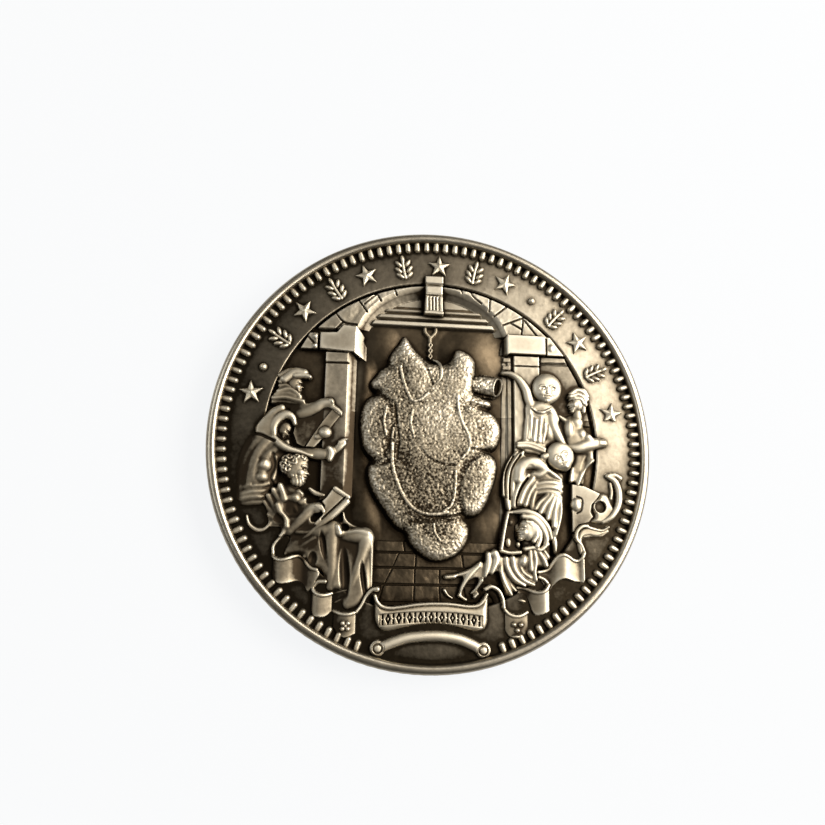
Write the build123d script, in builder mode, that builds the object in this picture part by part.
from build123d import *
import math
import os

# ---------------------------------------------------------------------------
# Struck medal, 38.1 mm across, lying on its back. Millimetres.
# Origin: centre of the plane that the back of the rim rests on.
# +Z: up through the front. +Y: towards the top of the design. +X: to its right.
# ---------------------------------------------------------------------------

# driving dimensions
COIN_D = 38.1            # outside diameter over the reeding
COIN_T = 3.0             # thickness over the two rims
RIM_W = 0.8              # width of the raised rim
REED_COUNT = 130         # grooves round the edge
REED_D = 0.14            # groove depth
BACK_FIELD_Z = 0.45      # back field, above the rest plane
SCENE_Z = 1.75           # floor of the recessed scene
BAND_Z = 2.3             # field that carries the ring of ornaments
SCENE_R = 14.4           # radius of the step from band down to scene
TOOTH_COUNT = 130        # border teeth, full circle
TOOTH_R0 = 17.45         # inner end of a tooth
TOOTH_W = 0.46
TOOTH_H = 0.42
ORNAMENT_R = 16.05       # radius of the ring of ornaments
ORNAMENT_H = 0.22
GAP = 0.05               # sawn joint between neighbouring blocks

R = COIN_D / 2
RIM_R = R - RIM_W        # inner radius of the rim, outer radius of the body

os.makedirs("parts", exist_ok=True)

# ---------------------------------------------------------------------------
# plan outlines, X right and Y up, in the coin's frame
# ---------------------------------------------------------------------------
KEYSTONE = [(-0.98, 15.0), (0.68, 15.0), (0.72, 11.35), (-1.0, 11.4)]

IMPOST_L = [(-11.75, 7.75), (-10.2, 7.8), (-6.9, 7.6), (-6.0, 7.0), (-6.0, 8.25), (-6.35, 8.75),
            (-6.7, 9.9), (-8.1, 10.05), (-8.6, 9.35), (-11.0, 9.3)]
IMPOST_R = [(6.3, 8.15), (11.8, 8.15), (10.35, 9.95), (6.45, 9.95), (6.1, 9.2)]
COLUMN_L = [(-9.5, 7.5), (-7.5, 7.5), (-6.85, 6.95), (-6.85, -4.9), (-9.5, -5.2)]
COLUMN_R = [(6.1, 8.1), (9.45, 8.1), (9.45, -2.0), (6.1, -8.7)]
REAR_PILASTER = [(9.5, 8.1), (11.8, 8.1), (12.85, 6.1), (13.55, 4.0), (13.9, 2.2), (9.5, 2.2)]

HEART = [(-2.6, 9.25), (-2.0, 8.4), (-1.5, 7.8), (-1.0, 7.35), (-0.5, 6.95), (0.2, 6.9), (0.9, 6.95),
         (1.45, 7.3), (1.75, 7.9), (2.0, 8.25), (2.7, 8.1), (3.3, 7.7), (3.6, 7.2), (3.6, 6.1),
         (3.4, 4.5), (4.2, 4.05), (4.9, 3.75), (5.0, 3.3), (4.1, 3.05), (5.1, 2.65), (5.65, 1.9),
         (5.8, 1.0), (5.6, 0.1), (5.2, -0.5), (4.5, -0.65), (5.25, -1.2), (5.5, -2.0), (5.35, -2.9),
         (5.0, -4.0), (4.6, -5.0), (4.0, -5.9), (3.4, -6.2), (2.4, -6.2), (2.8, -6.7), (3.05, -7.3),
         (2.95, -8.2), (2.5, -9.0), (1.8, -9.6), (0.8, -9.95), (-0.1, -9.9), (-1.0, -9.4),
         (-1.8, -8.6), (-2.2, -7.7), (-2.8, -7.4), (-3.4, -6.8), (-4.1, -5.8), (-4.8, -4.8),
         (-5.3, -3.8), (-5.5, -2.8), (-5.4, -2.2), (-5.1, -1.8), (-5.9, -0.8), (-6.2, 0.3),
         (-6.3, 1.5), (-6.1, 2.8), (-5.6, 3.6), (-4.7, 4.05), (-5.3, 4.5), (-5.5, 5.0),
         (-5.2, 5.4), (-4.6, 6.2), (-4.0, 6.6), (-4.0, 7.2), (-3.6, 8.0), (-3.2, 8.5), (-2.8, 9.1)]
TUBE = [(3.6, 6.1), (5.7, 6.05), (6.02, 5.75), (6.05, 5.2), (5.85, 4.5), (5.35, 4.05), (4.9, 4.15), (3.4, 4.5)]

BOARD = [(-9.6, 2.55), (-8.65, 2.62), (-7.9, 2.05), (-8.75, 0.95), (-9.4, -0.05), (-10.2, -0.95),
         (-11.5, -0.95), (-11.95, 0.3), (-11.75, 1.55), (-10.3, 1.95)]
TABLET = [(-8.35, -4.15), (-6.95, -4.9), (-6.95, -5.3), (-7.5, -5.8), (-9.0, -7.15), (-10.0, -8.0),
          (-11.3, -8.2), (-9.95, -6.65), (-9.1, -6.35), (-9.0, -5.75), (-9.3, -5.4), (-8.9, -5.0)]
CAP_MAN = [(-13.3, 5.0), (-12.9, 5.6), (-12.2, 5.85), (-11.2, 5.6), (-10.65, 5.35), (-10.8, 5.1),
           (-11.3, 5.0), (-11.2, 4.4), (-11.3, 3.9), (-11.0, 3.1), (-10.6, 2.65), (-9.8, 3.1),
           (-9.0, 3.45), (-8.6, 3.3), (-8.3, 2.65), (-9.6, 2.6), (-10.3, 2.0), (-11.6, 1.6),
           (-11.8, 2.2), (-12.3, 2.4), (-13.0, 2.6), (-13.85, 2.9), (-13.85, 3.6), (-13.4, 4.2)]
HOOD_MAN = [(-14.95, 0.75), (-14.0, 1.95), (-13.0, 2.6), (-12.2, 2.35), (-11.7, 1.7), (-11.85, 0.9),
            (-12.0, 0.2), (-12.0, -0.6), (-11.4, -1.0), (-10.0, -1.0), (-8.7, -0.95), (-8.0, -0.1),
            (-7.4, -0.05), (-7.3, -0.5), (-7.7, -1.1), (-8.45, -1.7), (-9.0, -2.0), (-10.0, -1.9),
            (-10.8, -1.65), (-12.3, -1.75), (-12.8, -2.4), (-12.9, -3.5), (-12.95, -4.1), (-13.4, -4.5),
            (-13.7, -5.9), (-15.0, -6.2), (-16.0, -6.1), (-16.35, -5.4), (-16.1, -4.4), (-15.9, -3.0),
            (-15.7, -1.5), (-15.3, -0.4)]
SCRIBE_TOP = [(-12.9, -4.1), (-12.4, -3.95), (-11.7, -3.9), (-10.9, -4.4), (-10.4, -5.3), (-10.75, -5.75),
              (-10.25, -5.55), (-9.4, -5.5), (-9.0, -5.9), (-9.1, -6.35), (-9.95, -6.6), (-11.3, -8.1),
              (-11.9, -8.1), (-12.3, -8.2), (-13.3, -7.6), (-14.2, -8.0), (-15.0, -7.75),
              (-15.4, -6.8), (-15.0, -6.25), (-13.7, -5.95), (-13.4, -4.5)]
SCRIBE_LEGS = [(-9.0, -7.15), (-8.2, -7.1), (-7.7, -7.7), (-6.6, -7.55), (-5.9, -7.45), (-5.1, -7.8),
               (-4.85, -8.4), (-4.85, -12.3), (-5.2, -12.7), (-5.7, -13.6), (-6.2, -14.0), (-7.0, -14.2),
               (-7.4, -13.6), (-7.2, -12.6), (-8.3, -12.6), (-8.6, -11.8), (-9.2, -11.0), (-10.0, -10.75),
               (-10.5, -10.1), (-11.0, -9.85), (-11.9, -9.9), (-12.2, -9.3), (-11.4, -8.25), (-10.0, -8.0)]

STANDING = [(6.0, 6.6), (6.9, 6.55), (7.6, 6.1), (8.2, 5.4), (8.65, 4.5), (8.7, 3.9), (9.4, 3.8),
            (10.2, 3.8), (10.3, 2.9), (10.8, 1.9), (11.3, 0.9), (11.7, 0.1), (10.2, -0.1), (9.6, -0.6),
            (9.6, -1.15), (8.0, -1.0), (7.2, -0.2), (7.6, 1.0), (7.9, 2.6), (8.2, 3.5), (7.9, 4.4),
            (7.3, 5.5), (6.8, 6.05), (6.1, 6.25)]
REAR_FIG = [(12.0, 4.4), (12.2, 4.9), (12.6, 5.3), (13.2, 5.25), (13.6, 4.6), (13.65, 3.9), (13.2, 3.3),
            (13.3, 2.7), (13.6, 1.6), (14.1, 0.9), (15.2, 0.85), (15.35, 0.3), (15.0, -0.05), (14.1, -0.25),
            (14.1, -1.2), (13.6, -1.9), (13.2, -3.3), (12.1, -3.0), (11.9, -1.8), (12.2, -0.9), (11.7, 0.1),
            (11.3, 0.9), (10.8, 1.9), (11.3, 2.7), (12.2, 2.9), (12.3, 3.3)]
ROBED = [(7.2, -0.2), (8.0, -1.0), (9.6, -1.15), (10.1, -1.7), (11.1, -2.1), (11.9, -1.8), (11.4, -3.0),
         (11.6, -4.4), (11.3, -5.5), (11.15, -6.6), (10.8, -7.4), (10.7, -9.0), (10.3, -9.3), (10.2, -7.4),
         (9.5, -6.5), (8.8, -5.85), (7.5, -5.65), (6.3, -5.65), (6.1, -4.8), (6.0, -3.0), (6.3, -1.8),
         (6.9, -0.7)]
KNEELING = [(7.5, -5.65), (8.8, -5.85), (9.5, -6.5), (10.2, -7.4), (10.3, -9.3), (9.8, -10.45), (8.9, -10.6),
            (9.0, -11.1), (9.7, -11.5), (9.3, -12.1), (8.4, -12.15), (7.1, -11.95), (6.9, -12.8), (6.1, -12.9),
            (5.7, -12.15), (5.0, -11.85), (4.3, -12.15), (3.9, -12.9), (3.0, -13.1), (1.6, -13.0), (1.0, -12.3),
            (2.2, -12.1), (2.5, -11.6), (1.1, -11.5), (1.0, -11.1), (2.5, -10.9), (3.4, -10.2), (4.2, -9.9),
            (4.5, -9.2), (5.3, -9.1), (5.75, -9.3), (7.5, -9.3), (7.6, -8.4), (7.0, -8.0), (7.0, -6.9),
            (7.5, -6.4)]
FRAME = [(6.3, -5.65), (7.5, -5.65), (7.5, -6.4), (7.0, -6.9), (7.0, -8.0), (7.6, -8.4), (7.5, -9.3),
         (5.75, -9.3), (5.7, -8.9), (6.05, -6.6)]
FRAME_OPENING = [(6.5, -6.05), (7.2, -6.05), (7.2, -6.4), (6.75, -6.8), (6.75, -8.1), (7.25, -8.5), (7.2, -8.95), (6.1, -8.95)]
BLOCK = [(12.0, -3.35), (13.2, -3.35), (14.62, -4.02), (14.4, -4.45), (13.9, -5.0), (13.7, -5.6), (13.9, -6.0),
         (13.5, -6.5), (12.6, -6.75), (12.15, -7.4), (12.0, -7.4)]

RIBBON_L1 = [(-11.9, -8.1), (-12.6, -8.55), (-13.05, -9.2), (-13.1, -11.2), (-12.7, -11.9), (-12.0, -12.15),
             (-11.3, -12.0), (-10.8, -12.05), (-10.3, -12.5), (-10.0, -12.85), (-9.8, -12.0), (-9.5, -11.3),
             (-9.2, -11.0), (-10.0, -10.75), (-10.5, -10.1), (-11.0, -9.85), (-11.9, -9.95), (-12.5, -10.15),
             (-12.85, -9.7), (-12.6, -9.0), (-12.0, -8.5)]
RIBBON_L2 = [(-8.65, -11.75), (-9.3, -11.8), (-9.7, -12.3), (-9.75, -14.1), (-9.5, -14.5), (-9.0, -14.7),
             (-8.4, -14.6), (-8.0, -14.2), (-7.9, -13.4), (-7.3, -13.0), (-7.2, -12.6), (-8.0, -12.65),
             (-8.8, -12.85), (-9.25, -12.6), (-9.2, -12.15), (-8.7, -12.05)]
RIBBON_L3 = [(-8.0, -14.1), (-7.3, -14.3), (-6.3, -14.15), (-5.75, -13.6), (-5.3, -12.8), (-4.85, -12.4),
             (-4.3, -12.25), (-4.15, -12.6), (-4.7, -12.85), (-4.9, -13.3), (-5.3, -14.0), (-5.95, -14.5),
             (-5.95, -15.9), (-6.6, -16.25), (-7.3, -16.2), (-7.85, -15.5)]
RIBBON_C = [(-4.65, -12.9), (-4.5, -13.3), (-4.1, -13.7), (-3.5, -13.85), (-2.5, -13.75), (-1.5, -13.6),
            (0.0, -13.45), (1.5, -13.45), (3.0, -13.6), (3.8, -13.55), (4.3, -13.2), (4.6, -12.6), (4.7, -12.65),
            (4.7, -14.9), (4.4, -15.4), (3.8, -15.6), (3.0, -15.5), (1.5, -15.15), (0.3, -15.05), (-1.0, -15.15),
            (-2.5, -15.5), (-3.6, -15.7), (-4.2, -15.5), (-4.6, -14.8)]
RIBBON_R1 = [(4.4, -12.15), (5.0, -11.85), (5.7, -12.15), (6.1, -12.9), (6.15, -13.7), (6.5, -14.1),
             (7.1, -14.25), (7.7, -14.1), (8.15, -13.8), (8.2, -14.3), (8.05, -14.5), (8.0, -15.7), (6.2, -16.1),
             (6.0, -14.4), (5.6, -13.8), (5.3, -13.0), (4.8, -12.6)]
RIBBON_R2 = [(7.1, -11.95), (8.4, -12.15), (9.3, -12.1), (9.7, -11.5), (9.9, -11.5), (9.95, -12.4),
             (9.9, -13.6), (9.5, -14.15), (8.9, -14.3), (8.35, -14.15), (8.15, -13.4), (7.2, -13.2),
             (7.0, -12.8), (7.6, -12.6)]
RIBBON_R3 = [(8.9, -10.6), (9.8, -10.45), (10.3, -9.8), (10.7, -9.3), (11.3, -9.2), (12.0, -9.6), (12.5, -9.6),
             (12.85, -9.2), (12.7, -8.5), (12.3, -8.0), (12.3, -7.4), (12.7, -6.85), (13.3, -6.7), (13.9, -6.9),
             (14.6, -7.0), (15.25, -6.75), (15.2, -7.25), (14.8, -7.65), (14.2, -7.8), (13.4, -7.75),
             (12.95, -7.95), (13.1, -8.8), (13.15, -9.9), (13.45, -10.5), (13.3, -11.2), (12.8, -11.6),
             (12.2, -11.55), (11.5, -11.35), (10.9, -11.45), (10.3, -11.9), (9.95, -12.4), (9.9, -11.4),
             (9.0, -11.1)]
RIBBON_R4 = [(13.6, -6.4), (13.95, -5.95), (13.8, -5.2), (14.2, -4.4), (14.6, -3.9), (15.2, -3.6), (15.3, -2.6),
             (16.0, -2.6), (16.4, -3.5), (16.3, -4.6), (15.9, -5.5), (15.4, -6.2), (14.7, -6.65), (14.0, -6.6)]
SCROLL_BAR = [(-3.7, -16.5), (-2.5, -15.95), (-1.0, -15.6), (0.3, -15.5), (1.7, -15.65), (3.2, -16.1),
              (3.9, -16.5), (3.8, -17.3), (3.0, -16.95), (1.5, -16.55), (0.3, -16.45), (-1.0, -16.5),
              (-2.5, -16.75), (-3.6, -17.15)]
VOLUTES = [(-4.3, -17.0), (4.3, -17.05)]
VOLUTE_R = 0.62

HEADS = {
    "capped_man": (-12.1, 4.65, 0.75),
    "hooded_man": (-12.75, 0.7, 0.7),
    "seated_scribe": (-11.45, -2.85, 1.1),
    "standing_woman": (10.0, 5.05, 1.15),
    "rear_woman": (12.85, 4.3, 0.75),
    "robed_woman": (11.1, -0.95, 1.07),
    "kneeling_woman": (8.1, -7.3, 0.95),
}


def fill(*outlines, mode=Mode.ADD):
    """Faces inside closed outlines, in the sketch that is open."""
    for points in outlines:
        with BuildLine(mode=Mode.PRIVATE) as line:
            Polyline(*points, close=True)
        make_face(line.edges(), mode=mode)


def clear(*outlines):
    """Take other pieces' outlines out of the sketch that is open."""
    fill(*outlines, mode=Mode.SUBTRACT)


def clear_heads(*names):
    for name in names:
        x, y, r = HEADS[name]
        with Locations((x, y)):
            Circle(r, mode=Mode.SUBTRACT)


def save(piece, name):
    piece.part.label = name
    export_step(piece.part, f"parts/{name}.step")


def polar(radius, clock_deg):
    a = math.radians(90 - clock_deg)
    return (radius * math.cos(a), radius * math.sin(a))


# ---------------------------------------------------------------------------
# the blank: body disc, rim, band
# ---------------------------------------------------------------------------
with BuildPart() as coin_body:
    with BuildSketch(Plane.XY.offset(BACK_FIELD_Z)):
        Circle(RIM_R)
    extrude(amount=SCENE_Z - BACK_FIELD_Z)
save(coin_body, "coin_body")

with BuildPart() as rim_ring:
    with BuildSketch():
        Circle(R)
        Circle(RIM_R, mode=Mode.SUBTRACT)
    extrude(amount=COIN_T)
    outer = rim_ring.edges().filter_by(GeomType.CIRCLE).filter_by(lambda e: e.radius > R - 0.01)
    chamfer(outer, 0.22)
    with BuildSketch():
        with PolarLocations(R + 0.02, REED_COUNT):
            Rectangle(2 * (REED_D + 0.02), 0.3)
    extrude(amount=COIN_T, mode=Mode.SUBTRACT)
save(rim_ring, "rim_ring")

BAND_COVERS = [KEYSTONE, HOOD_MAN, SCRIBE_TOP, SCRIBE_LEGS, REAR_FIG, KNEELING, BLOCK, RIBBON_L1, RIBBON_L2, RIBBON_L3, RIBBON_C,
               RIBBON_R1, RIBBON_R2, RIBBON_R3, RIBBON_R4, SCROLL_BAR]
with BuildPart() as ornament_band:
    with BuildSketch(Plane.XY.offset(SCENE_Z)):
        Circle(RIM_R)
        Circle(SCENE_R, mode=Mode.SUBTRACT)
        clear(*BAND_COVERS)
        with Locations(*VOLUTES):
            Circle(VOLUTE_R, mode=Mode.SUBTRACT)
    extrude(amount=BAND_Z - SCENE_Z)
save(ornament_band, "ornament_band")

# border teeth: none behind the scroll at the foot of the coin
tooth_step = 360 / TOOTH_COUNT
tooth_angles = [i * tooth_step for i in range(TOOTH_COUNT) if abs(i * tooth_step - 180) > 17.5]
with BuildPart() as border_teeth:
    with BuildSketch(Plane.XY.offset(BAND_Z)):
        for clock in tooth_angles:
            with Locations(Location((*polar((TOOTH_R0 + RIM_R) / 2, clock), 0), (0, 0, 90 - clock))):
                SlotOverall(RIM_R - TOOTH_R0 - 0.04, TOOTH_W)
        clear(RIBBON_L1, RIBBON_L2, RIBBON_L3, RIBBON_R3, RIBBON_R4, HOOD_MAN)
    extrude(amount=TOOTH_H)
save(border_teeth, "border_teeth")

# ring of ornaments: stars and leaf sprigs by turns, with two beads
MARK_CLOCKS = [-76.8, -57.3, -45.8, -33.6, -22.7, -10.4, 1.1, 12.8, 23.1, 43.0, 53.6, 64.9, 79.0]
BEAD_CLOCKS = [-68.0, 33.4]


def star_points(radius, inner, count=5):
    return [((radius if k % 2 == 0 else inner) * math.cos(math.pi * k / count),
             (radius if k % 2 == 0 else inner) * math.sin(math.pi * k / count)) for k in range(2 * count)]


with BuildPart() as ornament_stars:
    with BuildSketch(Plane.XY.offset(BAND_Z)):
        for clock in MARK_CLOCKS[0::2]:
            with Locations(Location((*polar(ORNAMENT_R, clock), 0), (0, 0, 90 - clock))):
                with BuildLine(mode=Mode.PRIVATE) as star_line:
                    Polyline(*star_points(0.95, 0.4), close=True)
                add(make_face(star_line.edges(), mode=Mode.PRIVATE))
    extrude(amount=ORNAMENT_H)
save(ornament_stars, "ornament_stars")

with BuildPart() as ornament_sprigs:
    with BuildSketch(Plane.XY.offset(BAND_Z)):
        for clock in MARK_CLOCKS[1::2]:
            with Locations(Location((*polar(ORNAMENT_R, clock), 0), (0, 0, 90 - clock))):
                Rectangle(1.7, 0.2)
            for along, side, turn in ((0.6, 0.0, 0), (0.15, 0.42, 40), (0.15, -0.42, -40),
                                      (-0.45, 0.42, 40), (-0.45, -0.42, -40)):
                a = math.radians(90 - clock)
                cx, cy = polar(ORNAMENT_R, clock)
                x = cx + along * math.cos(a) - side * math.sin(a)
                y = cy + along * math.sin(a) + side * math.cos(a)
                with Locations(Location((x, y, 0), (0, 0, 90 - clock + turn))):
                    Ellipse(0.42, 0.19)
    extrude(amount=ORNAMENT_H)
save(ornament_sprigs, "ornament_sprigs")

with BuildPart() as ornament_beads:
    with BuildSketch(Plane.XY.offset(BAND_Z)):
        with Locations(*[polar(15.9, c) for c in BEAD_CLOCKS]):
            Circle(0.3)
    extrude(amount=ORNAMENT_H + 0.1)
    fillet(ornament_beads.edges().group_by(Axis.Z)[-1], 0.2)
save(ornament_beads, "ornament_beads")

# ---------------------------------------------------------------------------
# the gateway
# ---------------------------------------------------------------------------
ARCH_OUT = (-0.2, 8.6, 6.85, 5.55)      # face edge of the arch's underside: centre and half axes
ARCH_IN = (-0.1, 8.4, 5.95, 4.75)       # its far edge
JOINTS_L = [(-6.45, 11.85, -40), (-5.1, 13.05, -58), (-3.5, 13.75, -75)]
JOINTS_R = [(3.2, 13.75, 72), (4.95, 12.95, 86), (6.1, 12.2, 40), (7.1, 11.3, 22)]
ARCH_H = 0.75

for side, name, joints in ((-1, "arch_stones_left", JOINTS_L), (1, "arch_stones_right", JOINTS_R)):
    with BuildPart() as arch_stones:
        with BuildSketch(Plane.XY.offset(SCENE_Z)):
            Circle(SCENE_R - 0.02)
            with Locations((ARCH_IN[0], ARCH_IN[1])):
                Ellipse(ARCH_IN[2], ARCH_IN[3], mode=Mode.SUBTRACT)
            with Locations((0, 10.05 - 20)):
                Rectangle(60, 40, mode=Mode.SUBTRACT)
            with Locations((-side * 20, 5)):
                Rectangle(40, 60, mode=Mode.SUBTRACT)
            clear(KEYSTONE)
            for x, y, turn in joints:
                with Locations(Location((x, y, 0), (0, 0, turn))):
                    Rectangle(3.4, GAP, mode=Mode.SUBTRACT)
        extrude(amount=ARCH_H)
    save(arch_stones, name)

with BuildPart() as keystone:
    with BuildSketch(Plane.XY.offset(SCENE_Z)):
        fill(KEYSTONE)
    extrude(amount=1.1)
    with BuildSketch(Plane.XY.offset(SCENE_Z + 1.1)):
        with Locations((-0.5, 12.3), (-0.14, 12.3), (0.22, 12.3)):
            Rectangle(0.16, 1.3)
    extrude(amount=-0.25, mode=Mode.SUBTRACT)
    with BuildSketch(Plane.XY.offset(SCENE_Z + 1.1)):
        with Locations((-0.15, 13.15), (-0.15, 14.15)):
            Rectangle(2.2, 0.12)
    extrude(amount=-0.2, mode=Mode.SUBTRACT)
save(keystone, "keystone")

with BuildPart() as lintel:
    for y0, y1, top in ((10.3, 10.85, 0.62), (10.97, 11.45, 0.5), (11.7, 12.0, 0.42)):
        with BuildSketch(Plane.XY.offset(SCENE_Z)):
            with Locations((ARCH_IN[0], ARCH_IN[1])):
                Ellipse(ARCH_IN[2] - 0.04, ARCH_IN[3] - 0.04)
            with Locations((0, (y0 + y1) / 2)):
                Rectangle(14, y1 - y0, mode=Mode.INTERSECT)
            clear(KEYSTONE)
        extrude(amount=top)
save(lintel, "lintel")

with BuildPart() as impost_left:
    with BuildSketch(Plane.XY.offset(SCENE_Z)):
        fill(IMPOST_L)
    extrude(amount=0.85)
save(impost_left, "impost_left")

with BuildPart() as impost_right:
    with BuildSketch(Plane.XY.offset(SCENE_Z)):
        fill(IMPOST_R)
    extrude(amount=0.85)
save(impost_right, "impost_right")

with BuildPart() as column_left:
    with BuildSketch(Plane.XY.offset(SCENE_Z)):
        fill(COLUMN_L)
        clear(BOARD, CAP_MAN, HOOD_MAN, SCRIBE_TOP, TABLET, HEART)
    extrude(amount=0.6)
save(column_left, "column_left")

with BuildPart() as column_right:
    with BuildSketch(Plane.XY.offset(SCENE_Z)):
        fill(COLUMN_R)
        clear(STANDING, ROBED, REAR_FIG, KNEELING, FRAME)
        clear_heads("standing_woman", "robed_woman")
    extrude(amount=0.6)
save(column_right, "column_right")

with BuildPart() as rear_pilaster:
    with BuildSketch(Plane.XY.offset(SCENE_Z)):
        fill(REAR_PILASTER)
        clear(STANDING, REAR_FIG)
        clear_heads("standing_woman", "rear_woman")
    extrude(amount=0.3)
save(rear_pilaster, "rear_pilaster")

with BuildPart() as floor_tiles:
    with BuildSketch(Plane.XY.offset(SCENE_Z)):
        for y0, y1, cuts in ((-9.35, -8.45, (-2.3, 1.6)), (-10.55, -9.4, (-3.0, 0.2, 2.6)),
                             (-11.95, -10.6, (-3.4, -1.3, 0.7)), (-13.35, -12.0, (-3.9, -1.3, 0.7, 2.9))):
            xs = [-4.8, *cuts, 5.6]
            for x0, x1 in zip(xs, xs[1:]):
                with Locations(((x0 + x1) / 2, (y0 + y1) / 2)):
                    Rectangle(x1 - x0 - GAP, y1 - y0 - GAP)
        clear(HEART, SCRIBE_LEGS, KNEELING, FRAME, RIBBON_L3, RIBBON_C, RIBBON_R1, COLUMN_R)
    extrude(amount=0.15)
save(floor_tiles, "floor_tiles")

# ---------------------------------------------------------------------------
# the heart on its hook
# ---------------------------------------------------------------------------
HOOK_Y = [(-1.0, 10.2), (-0.65, 10.2), (-0.38, 9.7), (-0.05, 10.2), (0.28, 10.2), (0.1, 9.5), (-0.18, 9.25),
          (-0.2, 8.95), (-0.55, 8.95), (-0.6, 9.35), (-0.9, 9.7)]
LINKS = [(-0.38, 8.62), (-0.36, 8.12), (-0.35, 7.62)]
HOOK_PATH = [(0.05, 7.35), (0.45, 6.95), (0.58, 6.3), (0.5, 5.6), (0.1, 5.15)]

with BuildPart() as chain:
    with BuildSketch(Plane.XY.offset(SCENE_Z)):
        fill(HOOK_Y)
    extrude(amount=0.4)
    with BuildSketch(Plane.XY.offset(SCENE_Z)):
        with Locations(*LINKS):
            Ellipse(0.2, 0.24)
    extrude(amount=0.45)
save(chain, "chain")

with BuildPart() as hook:
    with BuildSketch(Plane.XY.offset(SCENE_Z)):
        with BuildLine():
            Polyline(*HOOK_PATH)
        trace(line_width=0.24)
        clear([(-1, 7.95), (0.02, 7.95), (0.02, 7.0), (-1, 7.0)])
    extrude(amount=1.1)
save(hook, "hook")


def clear_hook():
    with BuildLine(mode=Mode.PRIVATE) as hook_line:
        Polyline(*HOOK_PATH)
    trace(hook_line.edges(), line_width=0.24, mode=Mode.SUBTRACT)


with BuildPart() as heart:
    for grow, level, rise in ((0.0, 0.0, 0.55), (-0.55, 0.55, 0.3), (-1.3, 0.85, 0.2)):
        with BuildSketch(Plane.XY.offset(SCENE_Z + level)):
            fill(HEART)
            if grow:
                offset(amount=grow, kind=Kind.INTERSECTION)
            clear_hook()
        extrude(amount=rise)
save(heart, "heart")

with BuildPart() as heart_vessel:
    with BuildSketch(Plane.XY.offset(SCENE_Z)):
        fill(TUBE)
        with Locations(Location((5.6, 5.08, 0), (0, 0, -12))):
            Ellipse(0.26, 0.68, mode=Mode.SUBTRACT)
        clear(STANDING)
    extrude(amount=0.8)
save(heart_vessel, "heart_vessel")

# ---------------------------------------------------------------------------
# figures, each a draped body and a head
# ---------------------------------------------------------------------------
with BuildPart() as capped_man:
    with BuildSketch(Plane.XY.offset(SCENE_Z)):
        fill(CAP_MAN)
        clear(HOOD_MAN, BOARD)
        clear_heads("capped_man")
    extrude(amount=0.5)
    with BuildSketch(Plane.XY.offset(SCENE_Z)):
        with Locations(HEADS["capped_man"][:2]):
            Circle(HEADS["capped_man"][2])
    extrude(amount=0.65)
save(capped_man, "capped_man")

with BuildPart() as hooded_man:
    with BuildSketch(Plane.XY.offset(SCENE_Z)):
        fill(HOOD_MAN)
        clear_heads("seated_scribe", "hooded_man")
    extrude(amount=0.8)
    with BuildSketch(Plane.XY.offset(SCENE_Z)):
        with Locations(HEADS["hooded_man"][:2]):
            Circle(HEADS["hooded_man"][2])
    extrude(amount=0.7)
save(hooded_man, "hooded_man")

with BuildPart() as drawing_board:
    with BuildSketch(Plane.XY.offset(SCENE_Z)):
        fill(BOARD)
        clear(HOOD_MAN)
    extrude(amount=0.7)
save(drawing_board, "drawing_board")

with BuildPart() as seated_scribe:
    with BuildSketch(Plane.XY.offset(SCENE_Z)):
        fill(SCRIBE_TOP)
        clear(HOOD_MAN)
        clear_heads("seated_scribe")
    extrude(amount=0.85)
    with BuildSketch(Plane.XY.offset(SCENE_Z)):
        fill(SCRIBE_LEGS)
        clear(TABLET, SCRIBE_TOP)
    extrude(amount=0.9)
    with BuildSketch(Plane.XY.offset(SCENE_Z)):
        with Locations(HEADS["seated_scribe"][:2]):
            Circle(HEADS["seated_scribe"][2])
    extrude(amount=1.0)
save(seated_scribe, "seated_scribe")

with BuildPart() as writing_tablet:
    with BuildSketch(Plane.XY.offset(SCENE_Z)):
        fill(TABLET)
        clear(SCRIBE_TOP)
    extrude(amount=1.0)
save(writing_tablet, "writing_tablet")

with BuildPart() as standing_woman:
    with BuildSketch(Plane.XY.offset(SCENE_Z)):
        fill(STANDING)
        clear_heads("standing_woman", "robed_woman")
    extrude(amount=0.8)
    with BuildSketch(Plane.XY.offset(SCENE_Z)):
        with Locations(HEADS["standing_woman"][:2]):
            Circle(HEADS["standing_woman"][2])
    extrude(amount=1.0)
save(standing_woman, "standing_woman")

with BuildPart() as rear_woman:
    with BuildSketch(Plane.XY.offset(SCENE_Z)):
        fill(REAR_FIG)
        clear(STANDING)
        clear_heads("rear_woman", "robed_woman")
    extrude(amount=0.7)
    with BuildSketch(Plane.XY.offset(SCENE_Z)):
        with Locations(HEADS["rear_woman"][:2]):
            Circle(HEADS["rear_woman"][2])
    extrude(amount=0.85)
save(rear_woman, "rear_woman")

with BuildPart() as robed_woman:
    with BuildSketch(Plane.XY.offset(SCENE_Z)):
        fill(ROBED)
        clear_heads("robed_woman", "kneeling_woman")
    extrude(amount=0.85)
    with BuildSketch(Plane.XY.offset(SCENE_Z)):
        with Locations(HEADS["robed_woman"][:2]):
            Circle(HEADS["robed_woman"][2])
    extrude(amount=1.1)
save(robed_woman, "robed_woman")

with BuildPart() as kneeling_woman:
    with BuildSketch(Plane.XY.offset(SCENE_Z)):
        fill(KNEELING)
        clear_heads("kneeling_woman")
    extrude(amount=0.9)
    with BuildSketch(Plane.XY.offset(SCENE_Z)):
        with Locations(HEADS["kneeling_woman"][:2]):
            Circle(HEADS["kneeling_woman"][2])
    extrude(amount=1.1)
save(kneeling_woman, "kneeling_woman")

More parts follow.
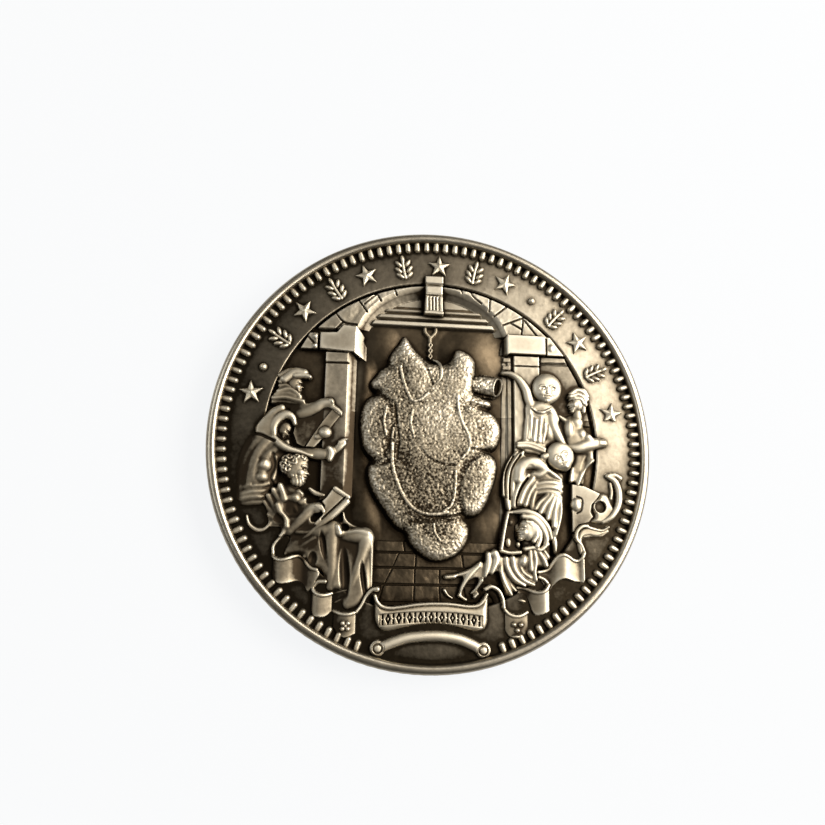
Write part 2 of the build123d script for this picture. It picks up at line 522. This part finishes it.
with BuildPart() as picture_frame:
    with BuildSketch(Plane.XY.offset(SCENE_Z)):
        fill(FRAME)
        clear_heads("kneeling_woman")
    extrude(amount=0.8)
    with BuildSketch(Plane.XY.offset(SCENE_Z + 0.8)):
        fill(FRAME_OPENING)
        clear_heads("kneeling_woman")
    extrude(amount=-0.45, mode=Mode.SUBTRACT)
save(picture_frame, "picture_frame")

with BuildPart() as stone_block:
    with BuildSketch(Plane.XY.offset(SCENE_Z)):
        fill(BLOCK)
        clear(RIBBON_R4, RIBBON_R3)
        with Locations((12.45, -5.0)):
            Circle(0.5, mode=Mode.SUBTRACT)
    extrude(amount=0.75)
    with BuildSketch(Plane.XY.offset(SCENE_Z)):
        with Locations((12.5, -5.0)):
            Circle(0.42)
    extrude(amount=0.9)
save(stone_block, "stone_block")

# ---------------------------------------------------------------------------
# ribbons and the scroll at the foot
# ---------------------------------------------------------------------------
with BuildPart() as ribbon_left:
    with BuildSketch(Plane.XY.offset(SCENE_Z)):
        fill(RIBBON_L1, RIBBON_L2, RIBBON_L3)
        clear(SCRIBE_TOP, SCRIBE_LEGS)
    extrude(amount=0.85)
save(ribbon_left, "ribbon_left")

with BuildPart() as ribbon_centre:
    with BuildSketch(Plane.XY.offset(SCENE_Z)):
        fill(RIBBON_C)
        clear(RIBBON_L3, RIBBON_R1)
    extrude(amount=0.95)
    with BuildSketch(Plane.XY.offset(SCENE_Z + 0.95)):
        with Locations(*[(x, -14.45 - 0.012 * x * x) for x in (-3.6, -2.7, -1.8, -0.9, 0.0, 0.9, 1.8, 2.7, 3.6)]):
            RegularPolygon(0.33, 4, rotation=45)
    extrude(amount=-0.15, mode=Mode.SUBTRACT)
save(ribbon_centre, "ribbon_centre")

with BuildPart() as ribbon_right:
    with BuildSketch(Plane.XY.offset(SCENE_Z)):
        fill(RIBBON_R1, RIBBON_R2, RIBBON_R3, RIBBON_R4)
        with Locations((14.5, -5.15)):
            Circle(0.42, mode=Mode.SUBTRACT)
        clear(KNEELING)
    extrude(amount=0.85)
save(ribbon_right, "ribbon_right")

with BuildPart() as scroll_bar:
    with BuildSketch(Plane.XY.offset(SCENE_Z)):
        fill(SCROLL_BAR)
        with Locations(*VOLUTES):
            Circle(VOLUTE_R)
        clear(RIBBON_C)
    extrude(amount=0.95)
    with BuildSketch(Plane.XY.offset(SCENE_Z + 0.95)):
        with Locations(*VOLUTES):
            Circle(0.38)
            Circle(0.22, mode=Mode.SUBTRACT)
    extrude(amount=-0.15, mode=Mode.SUBTRACT)
save(scroll_bar, "scroll_bar")

# ---------------------------------------------------------------------------
# the back: teeth, wreath, tie and a plain medallion, all inside the rim
# ---------------------------------------------------------------------------
BACK_RELIEF = 0.32
with BuildPart() as back_teeth:
    with BuildSketch(Plane.XY.offset(BACK_FIELD_Z - BACK_RELIEF)):
        for i in range(TOOTH_COUNT):
            clock = i * tooth_step
            with Locations(Location((*polar((TOOTH_R0 + RIM_R) / 2, clock), 0), (0, 0, 90 - clock))):
                SlotOverall(RIM_R - TOOTH_R0 - 0.04, TOOTH_W)
    extrude(amount=BACK_RELIEF)
save(back_teeth, "back_teeth")

WREATH_R = 13.2
for side, name in ((-1, "laurel_branch_left"), (1, "laurel_branch_right")):
    with BuildPart() as laurel:
        with BuildSketch(Plane.XY.offset(BACK_FIELD_Z - BACK_RELIEF)):
            for k in range(13):
                clock = side * (168 - 12 * k)
                for out, turn in ((1.25, 28), (-1.25, -28)):
                    with Locations(Location((*polar(WREATH_R + out, clock), 0), (0, 0, -clock + side * (180 - turn)))):
                        Ellipse(1.25, 0.42)
            for k in range(40):
                clock = side * (172 - 4 * k)
                with Locations(Location((*polar(WREATH_R, clock), 0), (0, 0, -clock))):
                    Rectangle(1.0, 0.36)
        extrude(amount=BACK_RELIEF)
    save(laurel, name)

with BuildPart() as wreath_tie:
    with BuildSketch(Plane.XY.offset(BACK_FIELD_Z - BACK_RELIEF)):
        with Locations((0, -WREATH_R)):
            Circle(0.75)
        with Locations(Location((-1.0, -WREATH_R + 0.75, 0), (0, 0, 150)), Location((1.0, -WREATH_R + 0.75, 0), (0, 0, 30))):
            Ellipse(1.0, 0.45)
        with Locations(Location((-0.75, -WREATH_R - 1.3, 0), (0, 0, 62)), Location((0.75, -WREATH_R - 1.3, 0), (0, 0, -62))):
            Rectangle(2.0, 0.5)
        for side in (-1, 1):
            for k in range(3):
                with Locations(Location((*polar(WREATH_R, side * (172 - 4 * k)), 0), (0, 0, -side * (172 - 4 * k)))):
                    Rectangle(1.0, 0.36, mode=Mode.SUBTRACT)
            for out, turn in ((1.25, 28), (-1.25, -28)):
                clock = side * 168
                with Locations(Location((*polar(WREATH_R + out, clock), 0), (0, 0, -clock + side * (180 - turn)))):
                    Ellipse(1.25, 0.42, mode=Mode.SUBTRACT)
    extrude(amount=BACK_RELIEF)
save(wreath_tie, "wreath_tie")

with BuildPart() as back_medallion:
    with BuildSketch(Plane.XY.offset(BACK_FIELD_Z - BACK_RELIEF)):
        Circle(9.6)
        Circle(8.9, mode=Mode.SUBTRACT)
        with PolarLocations(8.2, 36):
            Circle(0.24)
    extrude(amount=BACK_RELIEF)
    with BuildSketch(Plane.XY.offset(BACK_FIELD_Z - 0.2)):
        fill(star_points(6.6, 2.9, 8))
    extrude(amount=0.2)
save(back_medallion, "back_medallion")
